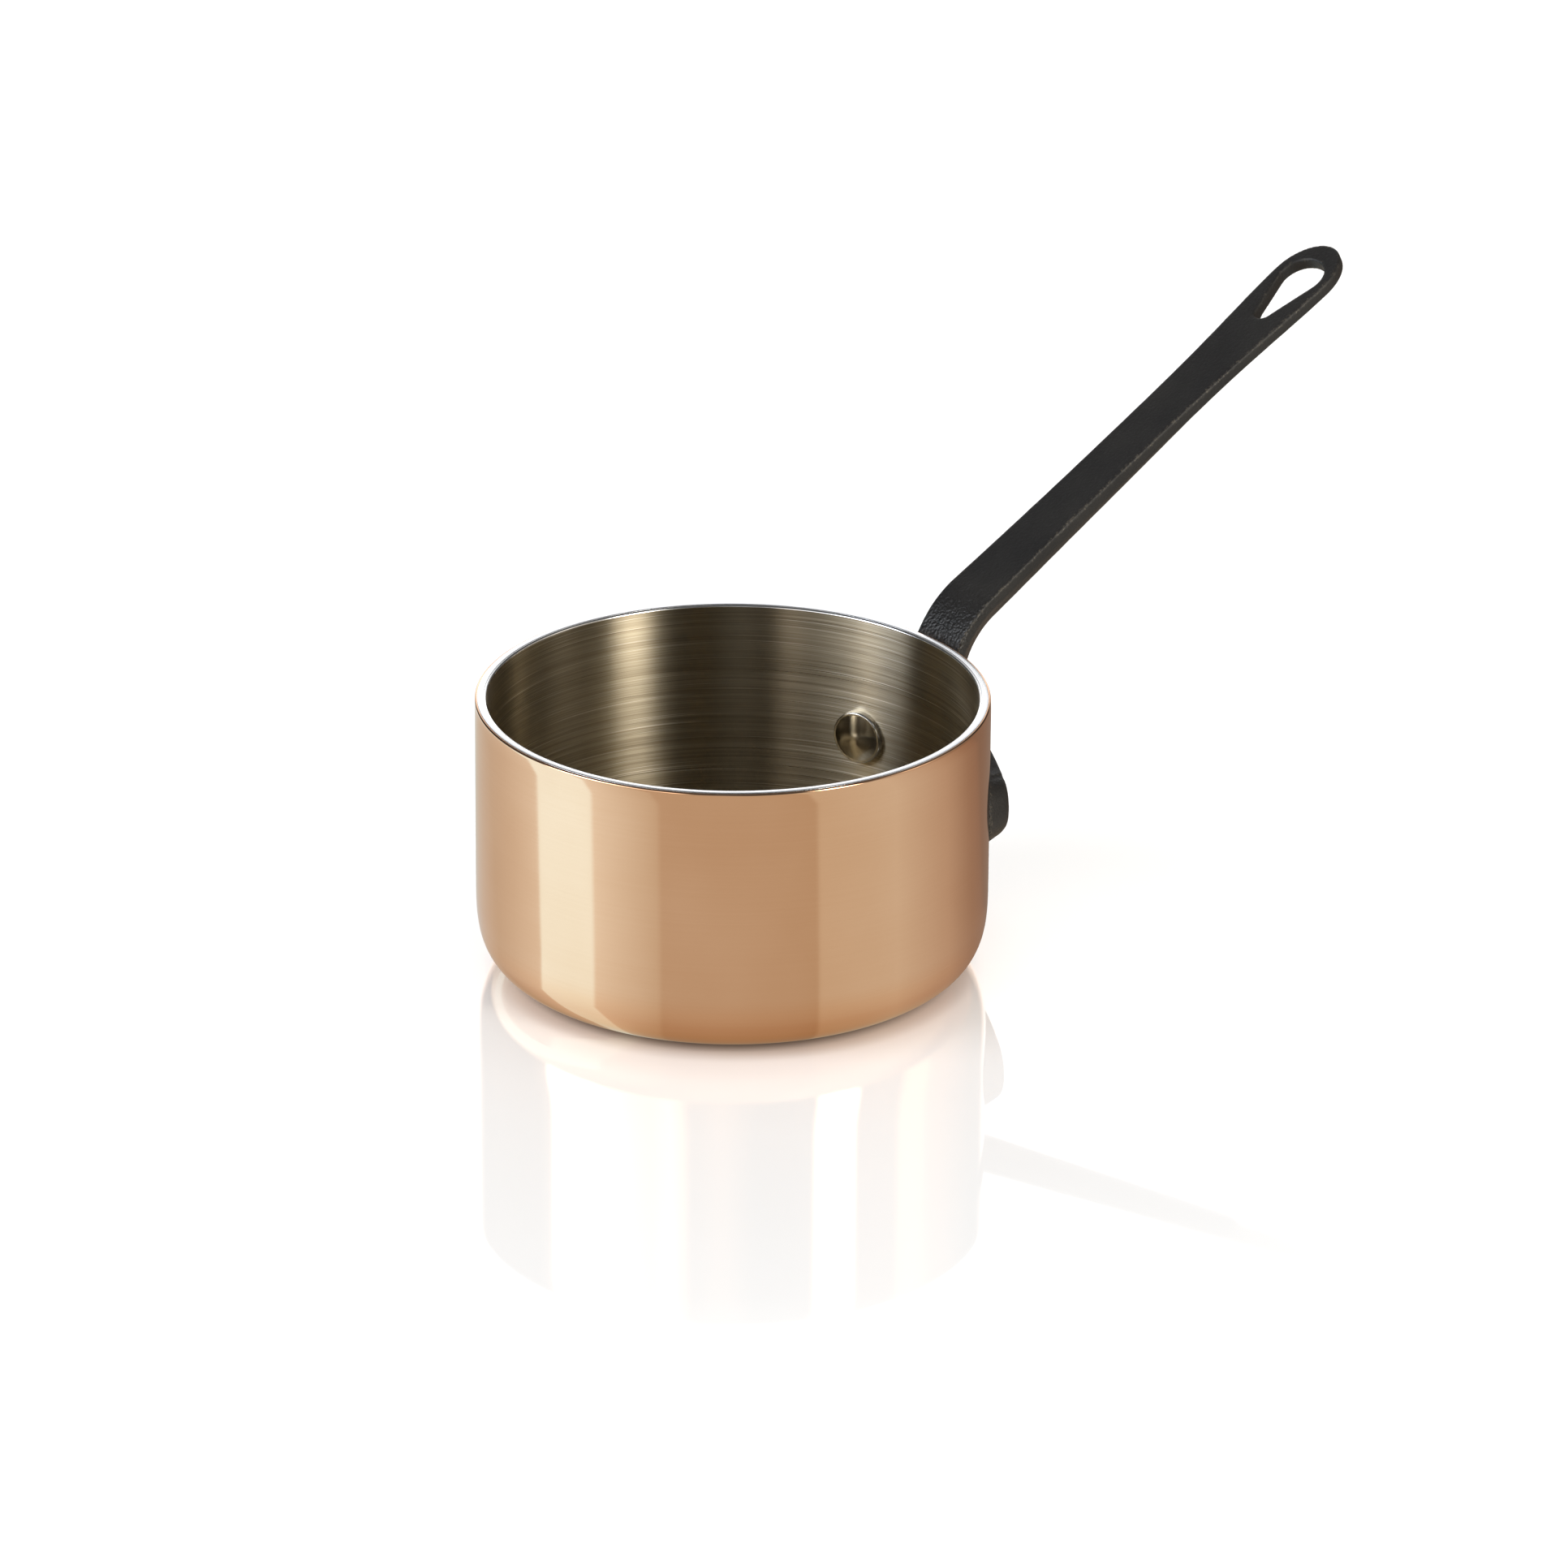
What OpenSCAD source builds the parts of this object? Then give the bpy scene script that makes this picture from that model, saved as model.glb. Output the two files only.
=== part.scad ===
// Small clad copper saucepan with a riveted cast-iron handle.
// Origin: centre of the underside of the base. +Z up, the handle points along +X.

/* [Pan] */
// Outside diameter of the pan
pan_d = 120; // [110:1:135]
// Height from the underside to the rim
pan_h = 66.8; // [62:0.2:75]
// Reach of the rounded bottom corner, up the wall and in along the base
corner_r = 21.9; // [18:0.1:24]
// Squareness of the bottom corner: 2 is a plain arc, more is tighter in the middle
corner_power = 3.55; // [2:0.05:4]

/* [Clad layers] */
// Copper skin outside
copper_t = 0.5; // [0.3:0.05:1]
// Aluminium core
core_t = 1.6; // [1:0.05:2]
// Stainless steel lining inside
lining_t = 0.6; // [0.3:0.05:0.8]

/* [Handle] */
// Length of the straight grip, from the end of the bend to the centre of the eye
grip_len = 118.2; // [100:0.2:140]
// Rise of the grip above level, in degrees
grip_rise = 28; // [20:0.5:35]
// Width of the grip at its waist
waist_w = 13.3; // [12:0.1:14]
// Width of the grip where it joins the bend
neck_w = 15; // [14:0.1:16]
// Width of the eye at the tip
eye_w = 17.2; // [17:0.1:20]
// Height of the grip's flat sides, and thickness of the eye
side_t = 3.3; // [3:0.1:4]
// Full depth of the grip at the bend, rounded belly included
neck_depth = 8.5; // [8:0.1:9]
// Full depth of the grip just before the eye
front_depth = 5.8; // [5:0.1:6.5]
// Outer radius of the bend
bend_r = 25.8; // [22:0.1:30]
// Height at which the bend starts
bend_z = 52.3; // [50:0.1:56]

/* [Handle foot] */
// Thickness of the foot against the wall
foot_t = 5.5; // [4:0.1:6]
// Sideways distance from the middle to the centre of each wing's round end
wing_y = 29.8; // [26:0.2:32]
// Height of the wing ends
wing_z = 34.4; // [32:0.2:37]
// Radius of the wing ends
wing_r = 7.3; // [6:0.1:8]

/* [Hanging hole] */
// Radius of the hole's wide end, towards the tip
hole_r = 6; // [5:0.1:6.4]
// Radius of the hole's narrow end, towards the pan
hole_small_r = 2.2; // [1.5:0.1:3]
// Distance between the centres of the two ends
hole_len = 13.5; // [10:0.1:16]

/* [Rivets] */
// Angle of each upper rivet from the handle, round the pan
rivet_angle = 18.2; // [16:0.1:20]
// Height of the upper rivets
rivet_z = 36.7; // [34:0.1:39]
// Height of the lower rivet
lower_rivet_z = 22.6; // [22:0.1:24]
// Radius of the button head inside the pan
head_r = 6.5; // [5.5:0.1:7]
// Height of the button head at its crown
head_t = 2.5; // [2:0.1:3]
// Radius of the shank
shank_r = 2.8; // [2:0.1:3]

/* [Hidden] */
$fn = 96;

wall_t = copper_t + core_t + lining_t;
outer_r = pan_d / 2;
inner_r = outer_r - wall_t;
foot_r = outer_r + foot_t;

// Points along the corner curve
CORNER_STEPS = 14;
// A cut that reaches well past what it cuts
PAST = 40;

// How much slimmer the bend is on each side, and how far it laps into its neighbours, in degrees
BEND_INSET = 0.1;
BEND_LAP = 2;
// How far inside the wings and the tongue the ends of the foot's lower edge lie
EDGE_INSET = 0.15;
// The bend turns from upright to the grip's slope
bend_turn = 90 - grip_rise;
bend_x = outer_r + bend_r;
grip_x = bend_x - bend_r * sin(grip_rise);
grip_z = bend_z + bend_r * cos(grip_rise);
// How far the tip's elliptical end stands beyond the centre of the eye
tip_len = 11.6;
// Where along the grip the waist is narrowest, and where the belly starts and ends its fade
waist_at = 52;
belly_fade = 99.5;
belly_end = 106.5;
// Radius of the belly's cross-section
belly_r = 7.2;
// Height at which the belly's ridge has died out on the foot
ridge_end_z = 36;
// Half width and lower end of the foot's tongue
tongue_r = 8.6;
foot_top_z = 50.5;

// Facets of the large sphere that the head's dome is cut from
CROWN_FN = 360;
// Height of the head's upright edge, and the size of the flared outer end
head_edge_t = 1.5;
tail_r = 4.2;
tail_t = 1.5;
tail_crown = 0.35;

// ---- Pan -------------------------------------------------------------------

// Section of the pan's outer face moved in by d, from the axis to the rim
function pan_line(d) = let (r = corner_r - d) concat(
    [[0, d]],
    [for (i = [0 : CORNER_STEPS]) let (a = 90 * i / CORNER_STEPS)
        [outer_r - d - r * (1 - pow(sin(a), 2 / corner_power)),
         d + r * (1 - pow(cos(a), 2 / corner_power))]],
    [[outer_r - d, pan_h]]);

// One layer of the clad sheet between two depths below the outer face
module layer(from, to) {
    near = pan_line(from);
    far = pan_line(to);
    rotate_extrude()
        polygon(concat(near, [for (i = [len(far) - 1 : -1 : 0]) far[i]]));
}

// Places its children at each rivet, with local +Z pointing in to the pan's axis
module at_rivet(angle, z)
    rotate([0, 0, angle])
        translate([0, 0, z])
            rotate([0, -90, 0])
                children();

module shank_holes() {
    for (side = [-1, 1])
        at_rivet(side * rivet_angle, rivet_z) shank();
    at_rivet(0, lower_rivet_z) shank();
}

module shank()
    translate([0, 0, -foot_r - 1])
        cylinder(r = shank_r, h = foot_t + wall_t + 2);

module copper_shell()
    color([0.80, 0.52, 0.36])
        difference() {
            layer(0, copper_t);
            shank_holes();
        }

module aluminium_core()
    color([0.72, 0.73, 0.75])
        difference() {
            layer(copper_t, copper_t + core_t);
            shank_holes();
        }

module steel_lining()
    color([0.62, 0.61, 0.58])
        difference() {
            layer(copper_t + core_t, wall_t);
            shank_holes();
        }

// ---- Rivets ----------------------------------------------------------------

// Flared end that fills the countersink in the foot's outer face
module tail(extra)
    translate([0, 0, -foot_r - extra]) {
        cylinder(r = tail_r, h = extra);
        cylinder(r1 = tail_r, r2 = shank_r, h = tail_t + extra);
    }

// Low button head, its edge upright and its face slightly domed
module button_head() {
    crown = head_t - head_edge_t;
    crown_r = (pow(head_r, 2) + pow(crown, 2)) / (2 * crown);
    intersection() {
        translate([0, 0, -inner_r - 1])
            cylinder(r = head_r, h = head_t + 1);
        translate([0, 0, -inner_r + head_t - crown_r])
            sphere(r = crown_r, $fn = CROWN_FN);
    }
}

module rivet(angle, z)
    color([0.70, 0.70, 0.68]) {
        intersection() {
            at_rivet(angle, z) button_head();
            cylinder(r = inner_r, h = pan_h);
        }
        intersection() {
            union() {
                at_rivet(angle, z) shank();
                at_rivet(angle, z) tail(1);
            }
            difference() {
                cylinder(r = foot_r + tail_crown, h = pan_h);
                translate([0, 0, -1]) cylinder(r = inner_r, h = pan_h + 2);
            }
        }
    }

module rivet_left() rivet(rivet_angle, rivet_z);
module rivet_right() rivet(-rivet_angle, rivet_z);
module rivet_lower() rivet(0, lower_rivet_z);

// ---- Handle ----------------------------------------------------------------

// Grip's cross-section: x is depth below the top face, y is across
module grip_section(width, depth) {
    translate([0, -width / 2])
        square([side_t, width]);
    intersection() {
        translate([0, -width / 2])
            square([depth, width]);
        translate([depth - belly_r, 0])
            circle(r = belly_r);
    }
}

function ease(t) = t * t * (3 - 2 * t);

// Half the width of the grip at distance s from the bend
function grip_half(s) =
    s < waist_at ? waist_w / 2 + (neck_w - waist_w) / 2 * pow(1 - s / waist_at, 2)
    : s < grip_len ? waist_w / 2
        + (eye_w - waist_w) / 2 * ease(pow((s - waist_at) / (grip_len - waist_at), 1.8))
    : eye_w / 2 * sqrt(max(0, 1 - pow((s - grip_len) / tip_len, 2)));

// Stations along the grip: even ones up to the eye, then close ones round the tip
STATIONS = concat(
    [for (i = [0 : 24]) grip_len * i / 24],
    [for (a = [6 : 6 : 90]) grip_len + tip_len * sin(a)]);

module grip_plan()
    polygon(concat(
        [for (s = STATIONS) [s, grip_half(s)]],
        [for (i = [len(STATIONS) - 2 : -1 : 0]) [STATIONS[i], -grip_half(STATIONS[i])]]));

// The teardrop: two round ends and the straight flanks that touch both
module teardrop() {
    lean = acos((hole_r - hole_small_r) / hole_len);
    translate([grip_len, 0]) circle(r = hole_r);
    translate([grip_len - hole_len, 0]) circle(r = hole_small_r);
    polygon([for (end = [[0, hole_r, 1], [0, hole_r, -1],
                         [hole_len, hole_small_r, -1], [hole_len, hole_small_r, 1]])
        [grip_len - end[0] - end[1] * cos(lean), end[2] * end[1] * sin(lean)]]);
}

// Straight grip and eye, in its own frame: x along the grip, top face at z = 0
module grip()
    difference() {
        intersection() {
            rotate([0, 90, 0])
                linear_extrude(grip_len + tip_len)
                    union() {
                        grip_section(neck_w, neck_depth);
                        translate([0, -eye_w / 2]) square([side_t, eye_w]);
                    }
            translate([0, 0, -PAST / 2])
                linear_extrude(PAST) grip_plan();
            rotate([90, 0, 0])
                translate([0, 0, -PAST / 2])
                    linear_extrude(PAST)
                        polygon([[0, 0], [0, -neck_depth], [belly_fade, -front_depth],
                                 [belly_end, -side_t], [grip_len + tip_len, -side_t],
                                 [grip_len + tip_len, 0]]);
        }
        translate([0, 0, -PAST / 2])
            linear_extrude(PAST) teardrop();
    }

// The bend is a hair slimmer than the root and the grip, and runs a little way into both
module bend()
    translate([bend_x, 0, bend_z])
        rotate([90, 0, 0])
            rotate([0, 0, 180 - bend_turn - BEND_LAP])
                rotate_extrude(angle = bend_turn + 2 * BEND_LAP)
                    translate([bend_r - BEND_INSET, 0])
                        rotate(180)
                            grip_section(neck_w - 2 * BEND_INSET,
                                         neck_depth - 2 * BEND_INSET);

// Upright root between the foot and the bend; its belly dies out downwards
module root()
    intersection() {
        translate([outer_r, 0, ridge_end_z])
            linear_extrude(bend_z - ridge_end_z)
                union() {
                    grip_section(neck_w, neck_depth);
                    translate([-2, -neck_w / 2]) square([3, neck_w]);
                }
        rotate([90, 0, 0])
            translate([0, 0, -PAST / 2])
                linear_extrude(PAST)
                    polygon([[outer_r - 2, ridge_end_z], [foot_r - 1, ridge_end_z],
                             [outer_r + neck_depth, bend_z - 4],
                             [outer_r + neck_depth, bend_z], [outer_r - 2, bend_z]]);
    }

// Point where the foot's lower edge leaves a circle, just inside it so that the two cut cleanly
function edge_point(y, z, r) =
    let (spread = norm([wing_y, wing_z - lower_rivet_z]),
         lean = atan2(wing_z - lower_rivet_z, wing_y) - acos((tongue_r - wing_r) / spread))
    [y + (r - EDGE_INSET) * cos(lean), z + (r - EDGE_INSET) * sin(lean)];

// Outline of the foot seen along the handle: two wings and a tongue, joined by straight edges
module foot_outline() {
    wing_edge = edge_point(wing_y, wing_z, wing_r);
    tongue_edge = edge_point(0, lower_rivet_z, tongue_r);
    for (side = [-1, 1])
        translate([side * wing_y, wing_z]) circle(r = wing_r);
    translate([0, lower_rivet_z]) circle(r = tongue_r);
    polygon([[-tongue_edge[0], tongue_edge[1]], tongue_edge, wing_edge,
             [wing_y, wing_z + wing_r], [neck_w / 2, foot_top_z],
             [-neck_w / 2, foot_top_z], [-wing_y, wing_z + wing_r],
             [-wing_edge[0], wing_edge[1]]]);
}

module foot()
    intersection() {
        cylinder(r = foot_r, h = pan_h);
        rotate([90, 0, 90])
            linear_extrude(PAST * 2) foot_outline();
    }

module handle()
    color([0.16, 0.16, 0.16])
        difference() {
            union() {
                foot();
                root();
                bend();
                translate([grip_x, 0, grip_z])
                    rotate([0, -grip_rise, 0]) grip();
            }
            translate([0, 0, -1]) cylinder(r = outer_r, h = pan_h + 1);
            shank_holes();
            for (side = [-1, 1])
                at_rivet(side * rivet_angle, rivet_z) tail(1);
            at_rivet(0, lower_rivet_z) tail(1);
        }

copper_shell();
aluminium_core();
steel_lining();
handle();
rivet_left();
rivet_right();
rivet_lower();
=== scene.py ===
"""Copper saucepan with a cast-iron handle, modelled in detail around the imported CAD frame.

Lengths in the modelling functions are millimetres in the row frame: the base's underside is z = 0
and the handle runs along +X. They become metres only where a mesh or a light is made.
"""
import math

import bpy
import numpy as np
from mathutils import Matrix, Vector


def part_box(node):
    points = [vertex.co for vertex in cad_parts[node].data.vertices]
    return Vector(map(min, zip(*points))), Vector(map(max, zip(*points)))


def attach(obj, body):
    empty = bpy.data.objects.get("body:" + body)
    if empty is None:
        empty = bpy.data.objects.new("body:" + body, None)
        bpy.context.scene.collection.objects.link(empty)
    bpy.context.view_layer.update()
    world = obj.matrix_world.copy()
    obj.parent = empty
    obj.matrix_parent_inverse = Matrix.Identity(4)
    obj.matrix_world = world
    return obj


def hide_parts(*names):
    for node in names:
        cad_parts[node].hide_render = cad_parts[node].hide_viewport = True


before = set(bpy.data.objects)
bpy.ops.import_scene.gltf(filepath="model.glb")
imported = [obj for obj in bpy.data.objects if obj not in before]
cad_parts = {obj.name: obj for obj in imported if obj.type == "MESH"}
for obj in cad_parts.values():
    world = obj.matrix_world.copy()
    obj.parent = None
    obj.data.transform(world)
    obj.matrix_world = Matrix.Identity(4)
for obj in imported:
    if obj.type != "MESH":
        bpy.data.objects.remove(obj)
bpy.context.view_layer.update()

MM = 0.001

# ---- Sizes shared with the CAD source, in millimetres ------------------------------------------

# The pan's outer radius and height, its bottom corner, and its three layers
shell_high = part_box("copper_shell")[1]
PAN_R = shell_high.y / MM
PAN_H = shell_high.z / MM
CORNER_R = 21.9
CORNER_POWER = 3.55
COPPER_T = 0.5
CORE_T = 1.6
WALL_T = 2.7
INNER_R = PAN_R - WALL_T

# The grip from the end of the bend to the middle of the eye: its widths, depths and rounded belly
GRIP_LEN = 118.2
GRIP_RISE = math.radians(28)
WAIST_W = 13.3
WAIST_AT = 52.0
NECK_W = 15.0
EYE_W = 17.2
TIP_LEN = 11.6
SIDE_T = 3.3
NECK_DEPTH = 8.5
FRONT_DEPTH = 5.8
BELLY_R = 7.2
BELLY_FADE = 99.5
BELLY_END = 106.5
# The bend, and where the grip leaves it
BEND_R = 25.8
BEND_X = PAN_R + BEND_R
BEND_Z = 52.3
BEND_TURN = math.pi / 2 - GRIP_RISE
GRIP_X = BEND_X - BEND_R * math.sin(GRIP_RISE)
GRIP_Z = BEND_Z + BEND_R * math.cos(GRIP_RISE)
# The teardrop hole: its wide end, its narrow end, and the distance between their middles
HOLE_R = 6.0
HOLE_SMALL_R = 2.2
HOLE_LEN = 13.5

# The foot on the wall: two wings, a tongue, and the strap's ridge that ends on it
FOOT_T = 5.5
FOOT_R = PAN_R + FOOT_T
FOOT_TOP_Z = 50.5
WING_Y = 29.8
WING_Z = 34.4
WING_R = 7.3
TONGUE_R = 8.6
RIDGE_END_Z = 36.0

# The rivets: a domed head inside the pan, a shank, and a crowned tail on the foot
RIVET_ANGLE = 18.2
RIVET_Z = 36.7
LOWER_RIVET_Z = 22.6
HEAD_R = 6.5
HEAD_T = 2.5
HEAD_EDGE_T = 1.5
SHANK_R = 2.8
TAIL_R = 4.2
TAIL_T = 1.5
TAIL_CROWN = 0.35

# ---- Mesh helpers -------------------------------------------------------------------------------


def add_piece(name, points_mm, faces, material, uvs=None):
    """A smooth-shaded mesh object from points in millimetres. uvs holds one (u, v) per point."""
    mesh = bpy.data.meshes.new(name)
    mesh.from_pydata((np.asarray(points_mm) * MM).tolist(), [], [tuple(f) for f in faces])
    mesh.validate()
    mesh.shade_smooth()
    if uvs is not None:
        layer = mesh.uv_layers.new(name="along")
        loops = np.empty(len(mesh.loops), int)
        mesh.loops.foreach_get("vertex_index", loops)
        layer.data.foreach_set("uv", np.asarray(uvs, float)[loops].ravel())
    mesh.materials.append(material)
    piece = bpy.data.objects.new(name, mesh)
    bpy.context.scene.collection.objects.link(piece)
    return piece


def lathe(profile, segments):
    """Points, faces and UVs of a profile of (radius, height) turned about +Z.

    A profile point on the axis becomes one vertex. The profile runs so that the solid is on its left.
    U is the turn from 0 to 1 and V is the distance along the profile in metres.
    """
    points, uvs, rings = [], [], []
    run = 0.0
    turns = [2 * math.pi * i / segments for i in range(segments)]
    for k, (r, z) in enumerate(profile):
        if k:
            run += math.dist(profile[k - 1], (r, z)) * MM
        if r < 1e-9:
            rings.append([len(points)] * segments)
            points.append((0.0, 0.0, z))
            uvs.append((0.5, run))
            continue
        rings.append(list(range(len(points), len(points) + segments)))
        points += [(r * math.cos(a), r * math.sin(a), z) for a in turns]
        uvs += [(i / segments, run) for i in range(segments)]
    faces = []
    for low, high in zip(rings, rings[1:]):
        for i in range(segments):
            j = (i + 1) % segments
            corners = [low[i], low[j], high[j], high[i]]
            faces.append(list(dict.fromkeys(corners)))
    return points, faces, uvs


def arc(centre, radius, start, end, steps):
    """Points on a circle in the profile plane, angles in degrees."""
    return [(centre[0] + radius * math.cos(math.radians(start + (end - start) * i / steps)),
             centre[1] + radius * math.sin(math.radians(start + (end - start) * i / steps)))
            for i in range(steps + 1)]


# ---- Materials ----------------------------------------------------------------------------------


class Nodes:
    """A short way to write a node tree: each call makes a node, sets or links its inputs."""

    def __init__(self, tree):
        self.tree = tree
        tree.nodes.clear()

    def add(self, kind, inputs=None, **settings):
        node = self.tree.nodes.new(kind)
        for key, value in settings.items():
            setattr(node, key, value)
        for key, value in (inputs or {}).items():
            if isinstance(value, bpy.types.NodeSocket):
                self.tree.links.new(value, node.inputs[key])
            else:
                node.inputs[key].default_value = value
        return node

    def math(self, operation, a, b=0.0, c=0.0):
        return self.add("ShaderNodeMath", {0: a, 1: b, 2: c}, operation=operation).outputs[0]

    def ramp(self, factor, stops):
        """A colour ramp; stops are (position, (r, g, b)) or (position, grey)."""
        node = self.add("ShaderNodeValToRGB", {"Fac": factor})
        elements = node.color_ramp.elements
        while len(elements) < len(stops):
            elements.new(0.5)
        for element, (position, colour) in zip(elements, stops):
            element.position = position
            grey = isinstance(colour, (int, float))
            element.color = (*([colour] * 3 if grey else colour), 1.0)
        return node.outputs["Color"]

    def blend(self, factor, a, b):
        """Colour a at factor 0 and b at factor 1."""
        return self.add("ShaderNodeMix", {"Factor": factor, 6: a, 7: b},
                        data_type="RGBA").outputs[2]

    def grey_range(self, value, low, high, to_low, to_high):
        return self.add("ShaderNodeMapRange", {"Value": value, "From Min": low, "From Max": high,
                                               "To Min": to_low, "To Max": to_high}).outputs[0]

    def noise(self, vector, scale, detail=2.0, roughness=0.5):
        return self.add("ShaderNodeTexNoise", {"Vector": vector, "Scale": scale, "Detail": detail,
                                               "Roughness": roughness}).outputs["Fac"]


def new_material(name):
    material = bpy.data.materials.new(name)
    material.use_nodes = True
    return material, Nodes(material.node_tree)


def finish_material(nodes, shader):
    nodes.add("ShaderNodeOutputMaterial", {"Surface": shader.outputs[0]})


def turned_vector(nodes, around, along):
    """Texture coordinates that stretch round the pan: slow with the turn, fast along the profile."""
    place = nodes.add("ShaderNodeTexCoord").outputs["Object"]
    split = nodes.add("ShaderNodeSeparateXYZ", {0: place})
    uv = nodes.add("ShaderNodeSeparateXYZ", {0: nodes.add("ShaderNodeUVMap", uv_map="along").outputs[0]})
    return nodes.add("ShaderNodeCombineXYZ", {
        0: nodes.math("MULTIPLY", split.outputs[0], around),
        1: nodes.math("MULTIPLY", split.outputs[1], around),
        2: nodes.math("MULTIPLY", uv.outputs[1], along)}).outputs[0]


def polished_copper():
    """Mirror-polished copper with faint polishing lines and slight clouding."""
    material, nodes = new_material("polished_copper")
    lines = nodes.noise(turned_vector(nodes, 12.0, 2600.0), 1.0, detail=3.0)
    place = nodes.add("ShaderNodeTexCoord").outputs["Object"]
    clouds = nodes.noise(place, 22.0, detail=3.0)
    mottle = nodes.math("ADD", nodes.math("MULTIPLY", clouds, 0.85), nodes.math("MULTIPLY", lines, 0.15))
    colour = nodes.ramp(mottle, [(0.34, (0.79, 0.465, 0.28)), (0.66, (0.85, 0.525, 0.335))])
    roughness = nodes.math("ADD", nodes.grey_range(lines, 0.3, 0.7, 0.035, 0.06),
                           nodes.grey_range(clouds, 0.3, 0.7, 0.0, 0.02))
    bump = nodes.add("ShaderNodeBump", {"Strength": 0.006, "Distance": 0.0001, "Height": lines})
    shader = nodes.add("ShaderNodeBsdfPrincipled", {
        "Base Color": colour, "Metallic": 1.0, "Roughness": roughness, "Normal": bump.outputs[0]})
    finish_material(nodes, shader)
    return material


def brushed_steel():
    """Satin steel brushed round the pan: long fine scratches and a highlight drawn out across them. Its
    colour is darker and warmer than the rim's steel, as painted shade inside the pan.
    """
    material, nodes = new_material("brushed_steel")
    fine = nodes.noise(turned_vector(nodes, 10.0, 4600.0), 1.0, detail=4.0, roughness=0.65)
    coarse = nodes.noise(turned_vector(nodes, 24.0, 900.0), 1.0, detail=1.0)
    scratches = nodes.math("ADD", nodes.math("MULTIPLY", fine, 0.88),
                           nodes.math("MULTIPLY", coarse, 0.12))
    bright = nodes.grey_range(nodes.noise(turned_vector(nodes, 22.0, 3800.0), 1.0, detail=1.0),
                              0.62, 0.76, 0.0, 1.0)
    place = nodes.add("ShaderNodeTexCoord").outputs["Object"]
    patches = nodes.noise(place, 30.0, detail=2.0)
    # Painted shade: the lining is coloured darker and warmer than the rim's steel
    colour = nodes.ramp(scratches, [(0.38, (0.33, 0.28, 0.20)), (0.62, (0.48, 0.42, 0.315))])
    colour = nodes.blend(nodes.math("MULTIPLY", bright, 0.75), colour, (0.88, 0.83, 0.72, 1.0))
    roughness = nodes.math("ADD", nodes.grey_range(scratches, 0.3, 0.7, 0.26, 0.35),
                           nodes.grey_range(patches, 0.3, 0.7, -0.01, 0.02))
    bump = nodes.add("ShaderNodeBump", {"Strength": 0.03, "Distance": 0.00012, "Height": coarse})
    grain = nodes.add("ShaderNodeTangent", direction_type="RADIAL", axis="Z").outputs[0]
    shader = nodes.add("ShaderNodeBsdfPrincipled", {
        "Base Color": colour, "Metallic": 1.0, "Roughness": roughness, "Normal": bump.outputs[0],
        "Tangent": grain, "Anisotropic": 1.0, "Anisotropic Rotation": 0.25})
    finish_material(nodes, shader)
    return material


def turned_edge(name, dark, light, low, high):
    """Machined metal of the rim, with fine concentric tool lines."""
    material, nodes = new_material(name)
    lines = nodes.noise(turned_vector(nodes, 14.0, 9000.0), 1.0, detail=2.0, roughness=0.7)
    colour = nodes.ramp(lines, [(0.35, dark), (0.65, light)])
    roughness = nodes.grey_range(lines, 0.3, 0.7, low, high)
    bump = nodes.add("ShaderNodeBump", {"Strength": 0.25, "Distance": 0.00006, "Height": lines})
    shader = nodes.add("ShaderNodeBsdfPrincipled", {
        "Base Color": colour, "Metallic": 1.0, "Roughness": roughness, "Normal": bump.outputs[0]})
    finish_material(nodes, shader)
    return material


def polished_rivet_steel():
    """Polished steel with a few fine scratches in every direction."""
    material, nodes = new_material("polished_rivet_steel")
    place = nodes.add("ShaderNodeTexCoord").outputs["Object"]
    stretched = nodes.add("ShaderNodeMapping", {"Vector": place, "Scale": (900.0, 2400.0, 500.0),
                                                "Rotation": (0.6, 0.9, 0.4)}).outputs[0]
    scratches = nodes.noise(stretched, 1.0, detail=3.0)
    clouds = nodes.noise(place, 260.0, detail=3.0)
    colour = nodes.ramp(clouds, [(0.3, (0.64, 0.64, 0.63)), (0.7, (0.80, 0.80, 0.79))])
    roughness = nodes.math("ADD", nodes.grey_range(scratches, 0.35, 0.65, 0.05, 0.10),
                           nodes.grey_range(clouds, 0.3, 0.7, 0.0, 0.03))
    bump = nodes.add("ShaderNodeBump", {"Strength": 0.06, "Distance": 0.0001, "Height": scratches})
    shader = nodes.add("ShaderNodeBsdfPrincipled", {
        "Base Color": colour, "Metallic": 1.0, "Roughness": roughness, "Normal": bump.outputs[0]})
    finish_material(nodes, shader)
    return material


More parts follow.
